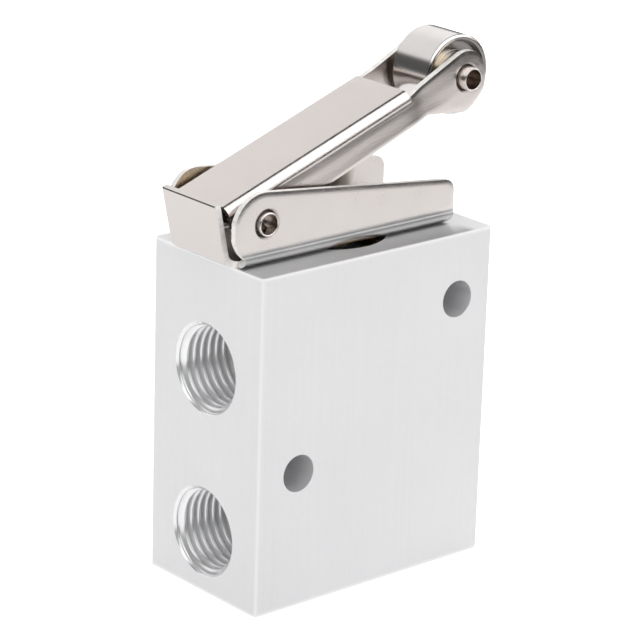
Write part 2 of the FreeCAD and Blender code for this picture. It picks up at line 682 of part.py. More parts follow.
def pin_holes(body, name, across, up, half_width):
    """A pin's hole through two parallel sheets, chamfered in both outer faces."""
    places = new_sketch(body, name + "_places", "XZ")
    draw_circle(places, across, up, "pin_hole_radius")
    pocket_through(body, name, places)
    doc.recompute()
    base = body.Tip
    face_y, radius = number(half_width), number("pin_hole_radius")
    spot = Vector(number(across), 0, number(up))
    rims = ["Edge%d" % (index + 1) for index, edge in enumerate(base.Shape.Edges)
            if isinstance(edge.Curve, Part.Circle) and abs(edge.Curve.Radius - radius) < 1e-4
            and abs((edge.Curve.Center - spot).Length - face_y) < 1e-4]
    chamfer = body.newObject("PartDesign::Chamfer", name + "_rims")
    chamfer.Base = (base, rims)
    bind(chamfer, Size="pin_hole_chamfer")


# Lever: a channel turned upside down, open as a fork round the roller

def make_roller_lever():
    body = new_body("roller_lever")
    body.Placement = FreeCAD.Placement(
        Vector(0, 0, 0), FreeCAD.Rotation(Vector(0, -1, 0), number("web_angle")))
    body.setExpression("Placement.Base.x", formula("pivot_x"))
    body.setExpression("Placement.Base.z", formula("pivot_height"))
    body.setExpression("Placement.Rotation.Angle", formula("web_angle"))
    low = "-(heel_round + trim_spare)"
    corner = "(lever_half_width - lever_bend)"
    inner_bend = "(lever_bend - lever_sheet)"
    bend_up = "(web_rise - lever_bend)"
    section = new_sketch(body, "web_section", "YZ", offset="(web_end - tail_length) / 2")
    draw_outline(section, [
        (corner, "web_rise"),
        ("-" + corner, "web_rise", ("lever_bend", "-" + corner, bend_up)),
        ("-lever_half_width", bend_up),
        ("-lever_half_width", low), ("-arm_inner", low),
        ("-arm_inner", bend_up, (inner_bend, "-" + corner, bend_up, "clockwise")),
        ("-" + corner, "web_under"),
        (corner, "web_under", (inner_bend, corner, bend_up, "clockwise")),
        ("arm_inner", bend_up),
        ("arm_inner", low), ("lever_half_width", low),
        ("lever_half_width", bend_up, ("lever_bend", corner, bend_up))])
    pad(body, "web", section, "web_end + tail_length")

    fork = new_sketch(body, "fork_plan", "XY")
    drawn_in = "web_end + fork_narrowing"
    tip = "roller_reach + eye_round + trim_spare"
    for way in ("-", ""):
        draw_outline(fork, [("web_end", way + "arm_inner"), (drawn_in, way + "fork_inner"),
                            (tip, way + "fork_inner"), (tip, way + "fork_half_width"),
                            (drawn_in, way + "fork_half_width"), ("web_end", way + "lever_half_width")])
    pad(body, "fork", fork, "2 * (roller_rise + eye_round + trim_spare)")

    side = new_sketch(body, "arm_outline", "XZ")
    far = "(roller_reach * 3)"
    draw_outline(side, [("-" + far, "-" + far), (far, "-" + far), (far, far), ("-" + far, far)])
    tangent_x = "(roller_reach - eye_round * sin(eye_slope))"
    tangent_z = "(roller_rise + eye_round * cos(eye_slope))"
    eye_low_x = "(roller_reach - sqrt(eye_round ^ 2 - (roller_rise + arm_edge_far) ^ 2))"
    draw_outline(side, [
        ("-tail_length", "web_rise"),
        ("-tail_length", "tail_foot"),
        ("-heel_round", "0", ("heel_round", "0", "0")),
        ("0", "-heel_round"),
        ("arm_edge_start", "-arm_edge_low"),
        ("web_end", "-arm_edge_high"),
        (eye_low_x, "-arm_edge_far", ("eye_round", "roller_reach", "roller_rise")),
        (tangent_x, tangent_z),
        ("web_end", "%s - (%s - web_end) * tan(eye_slope)" % (tangent_z, tangent_x)),
        ("web_end", "web_rise")])
    pocket_through(body, "arm_trim", side)

    across = Vector(0, 1, 0)
    neck = Vector(number(eye_low_x), 0, -number("arm_edge_far"))
    fillet_where(body, "arm_necks", "neck_round", lambda edge, spot: is_along(edge, across)
                 and Vector(spot.x - neck.x, 0, spot.z - neck.z).Length < 0.05)
    pin_holes(body, "pivot_holes", "0", "0", "lever_half_width")
    pin_holes(body, "roller_pin_holes", "roller_reach", "roller_rise", "fork_half_width")
    return body


# Pins, roller and its small parts, turned about their own Z and laid along Y

def make_pin(label, sheets_half, stand_out, x, z):
    """A pin through two sheets, turned down and drilled at both ends."""
    half = "(%s + %s)" % (sheets_half, stand_out)
    step = "(%s - pin_end_sink)" % sheets_half
    end = [("pin_radius", step), ("pin_end_radius", step),
           ("pin_end_radius", half + " - pin_chamfer"), ("pin_end_radius - pin_chamfer", half),
           ("pin_drill_radius", half), ("pin_drill_radius", half + " - pin_drill_depth"),
           ("0", half + " - pin_drill_depth")]
    other_end = [(radius, "-(%s)" % height) for radius, height in reversed(end)]
    return lay_along_y(turned(label, end + other_end), x, z)


def make_roller():
    half, outer = "roller_half_width", "roller_radius"
    mouth = "roller_radius - roller_rim"
    floor = "roller_radius - roller_rim - roller_recess_flare"
    outline = [("bush_outer", "-" + half), ("roller_hub_radius", "-" + half),
               ("roller_hub_radius", "roller_recess - " + half), (floor, "roller_recess - " + half),
               (mouth, "-" + half), (outer + " - roller_chamfer", "-" + half),
               (outer, "roller_chamfer - " + half), (outer, half + " - roller_chamfer"),
               (outer + " - roller_chamfer", half), (mouth, half),
               (floor, half + " - roller_recess"), ("roller_hub_radius", half + " - roller_recess"),
               ("roller_hub_radius", half), ("bush_outer", half)]
    return lay_along_y(turned("roller", outline), "roller_x", "roller_height")


def make_roller_bush():
    outline = [("pin_hole_radius", "-roller_half_width"), ("bush_outer", "-roller_half_width"),
               ("bush_outer", "roller_half_width"), ("pin_hole_radius", "roller_half_width")]
    return lay_along_y(turned("roller_bush", outline), "roller_x", "roller_height")


def make_roller_washer(label, side):
    """A washer between the roller and an arm, side is -1 or +1 along Y."""
    near = "%d * (roller_half_width + washer_gap)" % side
    far = "%d * (fork_inner - seat_gap)" % side
    outline = [("pin_hole_radius", near), ("washer_radius - washer_edge", near),
               ("washer_radius", "%s + %d * washer_edge" % (near, side)), ("washer_radius", far),
               ("pin_hole_radius", far)]
    return lay_along_y(turned(label, outline), "roller_x", "roller_height")


# Bracket screws and washers: two of each, joined as one group

def make_pair(label, maker):
    """Put two copies of a turned piece at the bracket's screw places."""
    pair = []
    for side, way in (("left", "-"), ("right", "")):
        one = maker("%s_%s" % (label, side))
        one.setExpression("Placement.Base.x", formula(way + "screw_spread"))
        pair.append(one)
    group = doc.addObject("Part::Compound", label)
    group.Label = label
    group.Links = pair
    return group


def make_screw(label):
    tip = "washer_top - screw_length"
    head_top = "washer_top + screw_head_height"
    body = turned(label, [
        ("0", tip), ("screw_radius - screw_head_dome", tip),
        ("screw_radius", tip + " + screw_head_dome"), ("screw_radius", "washer_top"),
        ("screw_head_radius", "washer_top"), ("screw_head_radius", head_top + " - screw_head_dome"),
        ("screw_head_radius - screw_head_dome", head_top), ("0", head_top)])
    socket = new_sketch(body, label + "_socket_shape", "XY", offset=head_top)
    draw_hexagon(socket, "screw_socket_across")
    pocket(body, label + "_socket", socket, "screw_socket_depth")
    return body


def make_screw_washer(label):
    return turned(label, [
        ("screw_radius + seat_gap", "plate_top"), ("screw_washer_radius", "plate_top"),
        ("screw_washer_radius", "washer_top"), ("screw_radius + seat_gap", "washer_top")])


pieces = [make_valve_body(), make_bottom_plug(), make_spool(), make_return_spring(),
          make_guide_bush(), make_plunger_wiper(), make_retaining_ring(), make_plunger(),
          make_lever_bracket(), make_roller_lever(),
          make_pin("pivot_pin", "bracket_half_width", "pivot_pin_stand_out", "pivot_x",
                   "pivot_height"),
          make_pin("roller_pin", "fork_half_width", "roller_pin_stand_out", "roller_x",
                   "roller_height"),
          make_roller(), make_roller_bush(),
          make_roller_washer("roller_washer_front", -1), make_roller_washer("roller_washer_rear", 1),
          make_pair("bracket_screws", make_screw), make_pair("bracket_screw_washers",
                                                             make_screw_washer)]
pieces += make_cages() + make_seals()
doc.recompute()

for obj in doc.Objects:
    if {"Invalid", "Error"} & set(obj.State):
        raise RuntimeError("%s failed: %s" % (obj.Label, obj.State))
for piece in pieces:
    if piece.Shape.isNull() or not piece.Shape.isValid() or not piece.Shape.Solids:
        raise RuntimeError("%s has no sound solid" % piece.Label)

os.makedirs("parts", exist_ok=True)
for piece in pieces:
    piece.Shape.exportStep("parts/%s.step" % piece.Label)
    box = piece.Shape.BoundBox
    print("%-22s %9.2f mm3  X %6.2f %6.2f  Y %6.2f %6.2f  Z %6.2f %6.2f" % (
        piece.Label, piece.Shape.Volume, box.XMin, box.XMax, box.YMin, box.YMax,
        box.ZMin, box.ZMax))
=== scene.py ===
import json
import math

import bmesh
import bpy
import numpy as np
from mathutils import Matrix, Vector


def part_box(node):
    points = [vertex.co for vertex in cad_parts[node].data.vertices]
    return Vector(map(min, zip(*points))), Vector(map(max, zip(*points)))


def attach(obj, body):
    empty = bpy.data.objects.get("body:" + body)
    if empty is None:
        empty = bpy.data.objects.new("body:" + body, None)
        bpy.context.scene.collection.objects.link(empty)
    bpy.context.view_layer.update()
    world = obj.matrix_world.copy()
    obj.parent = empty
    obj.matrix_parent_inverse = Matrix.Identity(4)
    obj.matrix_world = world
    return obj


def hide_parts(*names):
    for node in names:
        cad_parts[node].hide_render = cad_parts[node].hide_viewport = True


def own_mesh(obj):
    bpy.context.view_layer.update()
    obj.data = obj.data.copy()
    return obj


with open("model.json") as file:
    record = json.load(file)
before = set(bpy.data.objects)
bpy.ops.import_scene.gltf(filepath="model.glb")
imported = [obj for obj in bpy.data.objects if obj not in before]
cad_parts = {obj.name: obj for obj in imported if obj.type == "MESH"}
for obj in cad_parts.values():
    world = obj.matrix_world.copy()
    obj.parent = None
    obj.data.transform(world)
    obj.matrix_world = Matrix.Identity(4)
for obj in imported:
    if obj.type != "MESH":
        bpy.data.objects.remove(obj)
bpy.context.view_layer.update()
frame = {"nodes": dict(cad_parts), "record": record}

# Looks of a roller lever air valve: a drawn aluminium block with threaded ports in its narrow
# faces, a nickel plated bracket and lever pressed from sheet, and a steel roller.
# Lengths are metres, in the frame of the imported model.

MM = 0.001
FAR = 1.0                                # past every piece
RECORD = frame["record"]
MOUNTS = {mount["name"]: mount for mount in RECORD["mounts"]}
BLOCK_LOW, BLOCK_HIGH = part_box("valve_body")
ROLLER_LOW, ROLLER_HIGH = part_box("roller")
ROLLER_PIN = (ROLLER_LOW + ROLLER_HIGH) / 2
PIVOT_LOW, PIVOT_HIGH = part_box("pivot_pin")
PIVOT = (PIVOT_LOW + PIVOT_HIGH) / 2
SHEET = 1.0 * MM                         # thickness of bracket and lever
EAR_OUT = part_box("lever_bracket")[1].y   # outer face of the bracket's ears
ARM_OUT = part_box("roller_lever")[1].y    # outer face of the lever's sides
FORK_DRAWN_IN = 0.6 * MM                 # the fork's arms stand this much further in
FLAP_LEAN = math.radians(12)             # the bracket's end flap off upright
WEB_ANGLE = math.radians(19.6)           # lever web above level at rest
WEB_ALONG = Vector((math.cos(WEB_ANGLE), 0, math.sin(WEB_ANGLE)))
WEB_UP = Vector((-math.sin(WEB_ANGLE), 0, math.cos(WEB_ANGLE)))
EYE_ALONG, EYE_UP = (ROLLER_PIN - PIVOT).dot(WEB_ALONG), (ROLLER_PIN - PIVOT).dot(WEB_UP)


# Short ways to make shader nodes

def feed(tree, socket, value):
    """Put a number, a vector, a colour or another node's output on an input socket."""
    if isinstance(value, bpy.types.NodeSocket):
        tree.links.new(value, socket)
    else:
        socket.default_value = (*value, 1) if socket.type == "RGBA" else value


def add_node(tree, kind, **settings):
    """Make a shader node. Settings named like a socket are put on that socket."""
    node = tree.nodes.new(kind)
    for name, value in settings.items():
        if hasattr(node, name):
            setattr(node, name, value)
        else:
            feed(tree, node.inputs[name.replace("_", " ")], value)
    return node


def math_node(tree, operation, *operands, clamp=False):
    """One Math node. An operand is a number or an output socket."""
    node = add_node(tree, "ShaderNodeMath", operation=operation, use_clamp=clamp)
    for socket, operand in zip(node.inputs, operands):
        feed(tree, socket, operand)
    return node.outputs[0]


def vector_node(tree, operation, *operands):
    """One Vector Math node. An operand is a vector or an output socket."""
    node = add_node(tree, "ShaderNodeVectorMath", operation=operation)
    for socket, operand in zip(node.inputs, operands):
        feed(tree, socket, operand)
    return node.outputs["Value" if operation in ("LENGTH", "DOT_PRODUCT") else "Vector"]


def object_place(tree):
    """Object coordinates. They are the valve's own frame on every piece."""
    return tree.nodes.new("ShaderNodeTexCoord").outputs["Object"]


def split(tree, vector):
    """The X, Y and Z of a vector."""
    return add_node(tree, "ShaderNodeSeparateXYZ", Vector=vector).outputs


def ramp(tree, factor, stops):
    """Colour ramp through (place, colour) stops, where a colour may be one grey number."""
    node = tree.nodes.new("ShaderNodeValToRGB")
    elements = node.color_ramp.elements
    while len(elements) < len(stops):
        elements.new(0.5)
    for element, (place, colour) in zip(elements, stops):
        element.position = place
        element.color = (colour,) * 3 + (1,) if isinstance(colour, (int, float)) else (*colour, 1)
    tree.links.new(factor, node.inputs[0])
    return node.outputs[0]


def mix_shaders(tree, share, first, second):
    """The first shader where the share is 0, and the second where it is 1."""
    node = tree.nodes.new("ShaderNodeMixShader")
    for socket, output in zip(node.inputs, (share, first, second)):
        tree.links.new(output, socket)
    return node.outputs[0]


# Camera, lamps, backdrop and floor

CAMERA_AZIMUTH = math.radians(-41.019)   # 0 looks along +Y
CAMERA_ELEVATION = math.radians(18.935)
CAMERA_ROLL = math.radians(1.787)
CAMERA_DISTANCE = 438.75 * MM
CAMERA_SIDE_STEP = -0.366 * MM           # aim beside the bore's axis
CAMERA_AIM_HEIGHT = 36.589 * MM
CAMERA_LENS = 171.86                     # millimetres on a 36 millimetre sensor


def make_camera():
    """Aim a long lens at the valve from its front left corner."""
    flat = math.cos(CAMERA_ELEVATION)
    back = Vector((math.sin(CAMERA_AZIMUTH) * flat, -math.cos(CAMERA_AZIMUTH) * flat,
                   math.sin(CAMERA_ELEVATION)))
    level_right = Vector((math.cos(CAMERA_AZIMUTH), math.sin(CAMERA_AZIMUTH), 0))
    level_up = back.cross(level_right)
    right = level_right * math.cos(CAMERA_ROLL) + level_up * math.sin(CAMERA_ROLL)
    up = back.cross(right)
    aim = level_right * CAMERA_SIDE_STEP + Vector((0, 0, CAMERA_AIM_HEIGHT))
    lens = bpy.data.cameras.new("camera")
    lens.lens, lens.sensor_width = CAMERA_LENS, 36
    lens.clip_start, lens.clip_end = 0.01, 50
    camera = bpy.data.objects.new("camera", lens)
    turn = Matrix((right, up, back)).transposed().to_4x4()
    camera.matrix_world = Matrix.Translation(aim + back * CAMERA_DISTANCE) @ turn
    bpy.context.scene.collection.objects.link(camera)
    bpy.context.scene.camera = camera


LAMP_AIM = Vector((0, 0, 0.04))
# Name, place, side in metres, watts and colour of each lamp.
LAMPS = [("key_back_right", (0.45, 0.40, 0.75), 0.45, 4.9, (1.0, 0.99, 0.97)),
         ("fill_front_left", (-0.95, -0.30, 0.55), 0.80, 4.6, (1, 1, 1)),
         ("fill_front_right", (0.35, -0.80, 0.40), 0.80, 2.3, (1, 1, 1))]


def make_lamps():
    """Square soft lamps that metal doesn't mirror, because it mirrors the world's panels."""
    for name, place, side, watts, colour in LAMPS:
        light = bpy.data.lights.new(name, "AREA")
        light.shape, light.size, light.energy, light.color = "SQUARE", side, watts, colour
        lamp = bpy.data.objects.new(name, light)
        lamp.location = place
        lamp.rotation_mode = "QUATERNION"
        lamp.rotation_quaternion = (LAMP_AIM - Vector(place)).to_track_quat("-Z", "Y")
        lamp.visible_glossy = False
        bpy.context.scene.collection.objects.link(lamp)


LIGHT_OF_SKY = 0.62
# What polished metal sees on a turn from the back horizon (0) over the top to the front
# horizon (1): pale backdrop, a dark gap, the overhead softbox, a dark gap above the floor.
STUDIO_TURN = [(0.0, 0.90), (0.10, 0.98), (0.25, 1.02), (0.285, 0.07), (0.44, 0.05), (0.475, 1.6),
               (0.865, 1.6), (0.895, 0.06)]
# How much of that is left close to the horizon, by the upward part of the view. The wall
# stands higher on the left, by WALL_LEAN of the part of the view that goes there.
LOW_WALL = [(0.0, 0.11), (0.10, 0.13), (0.22, 1.0)]
WALL_LEAN = 0.4
# The backdrop from left (0) to right (1).
SIDE_TONE = [(0.30, 0.84), (0.48, 0.97), (1.0, 1.05)]


def make_world():
    """An even sky for the light, and the studio's panels for the camera and for gloss."""
    world = bpy.data.worlds.new("studio")
    bpy.context.scene.world = world
    world.use_nodes = True
    tree = world.node_tree
    tree.nodes.clear()
    right, back, up = split(tree, tree.nodes.new("ShaderNodeTexCoord").outputs["Generated"])
    turn = math_node(tree, "DIVIDE", math_node(tree, "ARCTAN2", up, back), math.pi, clamp=True)
    height = math_node(tree, "MULTIPLY_ADD", math_node(tree, "MINIMUM", right, 0.0), WALL_LEAN, up)
    side = math_node(tree, "MULTIPLY_ADD", right, 0.5, 0.5)
    panels = vector_node(tree, "MULTIPLY", ramp(tree, turn, STUDIO_TURN), ramp(tree, height, LOW_WALL))
    toned = vector_node(tree, "MULTIPLY", panels, ramp(tree, side, SIDE_TONE))
    seen = add_node(tree, "ShaderNodeBackground", Color=toned)
    lighting = add_node(tree, "ShaderNodeBackground", Color=(1, 1, 1), Strength=LIGHT_OF_SKY)
    ray = tree.nodes.new("ShaderNodeLightPath").outputs
    direct = math_node(tree, "MAXIMUM", ray["Is Camera Ray"], ray["Is Glossy Ray"])
    direct = math_node(tree, "MAXIMUM", direct, ray["Is Transmission Ray"])
    output = tree.nodes.new("ShaderNodeOutputWorld")
    tree.links.new(mix_shaders(tree, direct, lighting.outputs[0], seen.outputs[0]), output.inputs[0])


FLOOR_HALF = 4.0
FLOOR_DROP = 0.02 * MM                   # below the block's foot
FLOOR_TONE, FLOOR_LIFT = 0.82, 0.55      # grey of the paper, and the glow that the camera sees
# What metal sees on the floor, from the valve's foot (0) to FLOOR_REACH metres away (1).
FLOOR_REACH = 1.6
FLOOR_GLOW = [(0.0, 0.96), (0.06, 0.97), (0.10, 1.09), (0.14, 1.09), (0.30, 0.50), (0.60, 0.14),
              (1.0, 0.10)]


def make_floor():
    """Pale floor.

    It glows for the camera, so that only the shadow shows on it, and metal sees it bright
    near the valve and dark towards the walls.
    """
    corners = [(-FLOOR_HALF, -FLOOR_HALF), (FLOOR_HALF, -FLOOR_HALF), (FLOOR_HALF, FLOOR_HALF),
               (-FLOOR_HALF, FLOOR_HALF)]
    mesh = bpy.data.meshes.new("floor")
    mesh.from_pydata([(x, y, -FLOOR_DROP) for x, y in corners], [], [(0, 1, 2, 3)])
    floor = bpy.data.objects.new("floor", mesh)
    bpy.context.scene.collection.objects.link(floor)
    material = bpy.data.materials.new("studio_floor")
    material.use_nodes = True
    tree = material.node_tree
    tree.nodes.clear()
    paper = add_node(tree, "ShaderNodeBsdfDiffuse", Color=(FLOOR_TONE,) * 3)
    glow = add_node(tree, "ShaderNodeEmission", Color=(1, 1, 1), Strength=FLOOR_LIFT)
    both = tree.nodes.new("ShaderNodeAddShader")
    tree.links.new(paper.outputs[0], both.inputs[0])
    tree.links.new(glow.outputs[0], both.inputs[1])
    away = math_node(tree, "DIVIDE", vector_node(tree, "LENGTH", object_place(tree)), FLOOR_REACH,
                     clamp=True)
    mirrored = add_node(tree, "ShaderNodeEmission", Color=ramp(tree, away, FLOOR_GLOW))
    ray = tree.nodes.new("ShaderNodeLightPath").outputs
    shader = paper.outputs[0]
    for kind, seen in (("Is Glossy Ray", mirrored), ("Is Transmission Ray", mirrored),
                       ("Is Camera Ray", both)):
        shader = mix_shaders(tree, ray[kind], shader, seen.outputs[0])
    output = tree.nodes.new("ShaderNodeOutputMaterial")
    tree.links.new(shader, output.inputs[0])
    mesh.materials.append(material)


# Shader groups that several finishes share

def new_group(name, inputs, outputs):
    """A shader group with inputs {name: value} and the names of its float outputs.

    It comes with the sockets that bring the inputs and the sockets that take the outputs.
    """
    group = bpy.data.node_groups.new(name, "ShaderNodeTree")
    for label, value in inputs.items():
        kind = "NodeSocketVector" if isinstance(value, tuple) else "NodeSocketFloat"
        socket = group.interface.new_socket(label, in_out="INPUT", socket_type=kind)
        socket.default_value = value
    for label in outputs:
        group.interface.new_socket(label, in_out="OUTPUT", socket_type="NodeSocketFloat")
    given, made = group.nodes.new("NodeGroupInput"), group.nodes.new("NodeGroupOutput")
    return group, given.outputs, made.inputs


def make_grain_group():
    """Satin grain of plated sheet: fine noise for the height, and slow clouds.

    Stretch multiplies Object coordinates, so a small factor along an axis draws the
    grain out along it. Tone is 1 + Tone Swing * (grain + clouds - 1).
    """
    group, given, made = new_group(
        "satin_grain", {"Stretch": (1.0, 1.0, 1.0), "Grain Scale": 4000.0, "Cloud Scale": 220.0,
                        "Tone Swing": 0.06}, ("Height", "Tone", "Clouds"))
    place = object_place(group)
    grain = add_node(group, "ShaderNodeTexNoise", Detail=3.0, Roughness=0.65,
                     Vector=vector_node(group, "MULTIPLY", place, given["Stretch"]),
                     Scale=given["Grain Scale"]).outputs["Fac"]
    clouds = add_node(group, "ShaderNodeTexNoise", Detail=2.0, Roughness=0.5, Vector=place,
                      Scale=given["Cloud Scale"]).outputs["Fac"]
    swing = math_node(group, "SUBTRACT", math_node(group, "ADD", grain, clouds), 1.0)
    swing = math_node(group, "MULTIPLY", swing, given["Tone Swing"])
    feed(group, made["Height"], grain)
    feed(group, made["Tone"], math_node(group, "ADD", swing, 1.0))
    feed(group, made["Clouds"], clouds)
    return group


def make_lathe_group():
    """Turning marks round a level axis along Y: uneven rings that follow the radius.

    Height is noise of radius / Ring Pitch. Tone is 1 + Ring Swing * (height - 0.5).
    """
    group, given, made = new_group(
        "turning_marks", {"Centre": (0.0, 0.0, 0.0), "Ring Pitch": 0.00025, "Ring Swing": 0.3},
        ("Height", "Radius", "Tone"))
    away = vector_node(group, "SUBTRACT", object_place(group), given["Centre"])
    radius = vector_node(group, "LENGTH", vector_node(group, "MULTIPLY", away, (1, 0, 1)))
    rings = add_node(group, "ShaderNodeTexNoise", noise_dimensions="1D", Scale=1.0, Detail=3.0,
                     W=math_node(group, "DIVIDE", radius, given["Ring Pitch"])).outputs["Fac"]
    swing = math_node(group, "MULTIPLY", math_node(group, "SUBTRACT", rings, 0.5), given["Ring Swing"])
    feed(group, made["Height"], rings)
    feed(group, made["Radius"], radius)
    feed(group, made["Tone"], math_node(group, "ADD", swing, 1.0))
    return group


def make_box_edge_group():
    """Mask that is 1 on a box's edges: the two nearest faces are both within Width."""
    group, given, made = new_group(
        "box_edges", {"Half Size": (0.02, 0.01, 0.025), "Centre": (0.0, 0.0, 0.025), "Width": 0.0003},
        ("Mask",))
    away = vector_node(group, "SUBTRACT", object_place(group), given["Centre"])
    x, y, z = split(group, vector_node(group, "SUBTRACT", given["Half Size"],
                                       vector_node(group, "ABSOLUTE", away)))
    least = math_node(group, "MINIMUM", math_node(group, "MINIMUM", x, y), z)
    most = math_node(group, "MAXIMUM", math_node(group, "MAXIMUM", x, y), z)
    total = math_node(group, "ADD", math_node(group, "ADD", x, y), z)
    middle = math_node(group, "SUBTRACT", math_node(group, "SUBTRACT", total, least), most)
    share = math_node(group, "DIVIDE", middle, given["Width"])
    feed(group, made["Mask"], math_node(group, "SUBTRACT", 1.0, share, clamp=True))
    return group


def make_side_group():
    """Heights in metres that tilt a pressed side, by the distance up from a zero point.

    Height is Slope * up, plus Wave Height * sine of uneven waves. Shoulder is to be taken
    off: Shoulder Slope * the rise past Rise Start, rounded over Span, less Ease * up.
    """
    group, given, made = new_group(
        "side_waves", {"Up": (0.0, 0.0, 1.0), "Zero": (0.0, 0.0, 0.0), "Slope": -0.065,
                       "Wave Length": 0.0019, "Wave Height": 0.000003, "Rise Start": 0.0012,
                       "Span": 0.0013, "Shoulder Slope": 0.09, "Ease": 0.078},
        ("Height", "Shoulder"))
    place, span = object_place(group), given["Span"]
    up = vector_node(group, "DOT_PRODUCT", vector_node(group, "SUBTRACT", place, given["Zero"]),
                     given["Up"])
    drift = add_node(group, "ShaderNodeTexNoise", Scale=90.0, Detail=1.0, Vector=place).outputs["Fac"]
    turns = math_node(group, "ADD", math_node(group, "DIVIDE", up, given["Wave Length"]), drift)
    wave = math_node(group, "SINE", math_node(group, "MULTIPLY", turns, 2 * math.pi))
    tilt = math_node(group, "MULTIPLY", up, given["Slope"])
    feed(group, made["Height"], math_node(group, "MULTIPLY_ADD", wave, given["Wave Height"], tilt))
    risen = math_node(group, "SUBTRACT", up, given["Rise Start"])
    share = math_node(group, "DIVIDE", risen, span, clamp=True)
    curve = math_node(group, "MULTIPLY", math_node(group, "MULTIPLY", share, share), span)
    past = math_node(group, "MAXIMUM", math_node(group, "SUBTRACT", risen, span), 0.0)
    fall = math_node(group, "MULTIPLY", math_node(group, "MULTIPLY_ADD", curve, 0.5, past),
                     given["Shoulder Slope"])
    eased = math_node(group, "MULTIPLY", up, given["Ease"])
    feed(group, made["Shoulder"], math_node(group, "SUBTRACT", fall, eased))
    return group


GRAIN = make_grain_group()
SIDE_WAVES = make_side_group()
LATHE = make_lathe_group()
BOX_EDGES = make_box_edge_group()


class Finish:
    """One material: a Principled shader and short ways to feed its sockets."""

    def __init__(self, name, colour, metallic, roughness):
        self.material = bpy.data.materials.new(name)
        self.material.use_nodes = True
        self.tree = self.material.node_tree
        self.shader = self.tree.nodes["Principled BSDF"]
        self.colour = colour
        self.put("Base Color", colour)
        self.put("Metallic", metallic)
        self.put("Roughness", roughness)

    def put(self, label, value):
        """Put a number, a colour or an output socket on one of the shader's sockets."""
        feed(self.tree, self.shader.inputs[label], value)

    def group(self, group, **values):
        """Place a shared group with this finish's own values, and give its outputs."""
        return add_node(self.tree, "ShaderNodeGroup", node_tree=group, **values).outputs

    def math(self, operation, *operands, clamp=False):
        """One Math node in this finish."""
        return math_node(self.tree, operation, *operands, clamp=clamp)

    def band(self, axis, low, high, soft, both=False):
        """1 where an Object coordinate, or its size with both, is between low and high.

        It fades to 0 over soft inside each end.
        """
        value = split(self.tree, object_place(self.tree))[axis]
        if both:
            value = self.math("ABSOLUTE", value)
        above = self.math("MULTIPLY_ADD", value, 1 / soft, -low / soft, clamp=True)
        below = self.math("MULTIPLY_ADD", value, -1 / soft, high / soft, clamp=True)
        return self.math("MINIMUM", above, below)

    def product(self, *values):
        """Values multiplied. For masks that is where they overlap."""
        total = values[0]
        for value in values[1:]:
            total = self.math("MULTIPLY", total, value)
        return total

    def tint(self, *tones, colour=None):
        """Base colour times one or more tone sockets. The colour may be a socket."""
        mix = add_node(self.tree, "ShaderNodeVectorMath", operation="SCALE", Scale=self.product(*tones))
        feed(self.tree, mix.inputs[0], self.colour if colour is None else colour)
        self.put("Base Color", mix.outputs[0])
        return mix.outputs[0]

    def blend(self, mask, other, base):
        """Go over from a base colour to another by a mask. Both may be sockets."""
        mix = add_node(self.tree, "ShaderNodeMix", data_type="RGBA")
        factor, *_, first, second = [socket for socket in mix.inputs if socket.enabled]
        for socket, value in ((factor, mask), (first, base), (second, other)):
            feed(self.tree, socket, value)
        mixed = next(socket for socket in mix.outputs if socket.enabled)
        self.put("Base Color", mixed)
        return mixed

    def bump(self, height, depth, strength=1.0):
        """Raise the surface by a height socket, chained onto what is there."""
        node = add_node(self.tree, "ShaderNodeBump", Height=height, Distance=depth, Strength=strength)
        earlier = self.shader.inputs["Normal"].links
        if earlier:
            feed(self.tree, node.inputs["Normal"], earlier[0].from_socket)
        self.put("Normal", node.outputs[0])

    def rough(self, mask, low, high):
        """Let a mask lead the roughness from low to high."""
        self.put("Roughness", self.math("MULTIPLY_ADD", mask, high - low, low))


# Finishes

# Shade on the block's top. The strip before the near ear grows darker to the right, over
# STRIP_FADE up to about its end, and the line along both feet is as long as the bracket.
STRIP_SHADE, STRIP_START, STRIP_FADE, STRIP_END = 0.56, -45.0 * MM, 62.0 * MM, 18.5 * MM
FOOT_SHADE, FOOT_START, FOOT_END = 0.40, -22.0 * MM, 17.2 * MM
# Painted highlight: a pale ring round the bore's recess.
RECESS_RIM, RECESS_RIM_HALF = 8.75 * MM, 0.22 * MM   # pale ring round the bore's recess


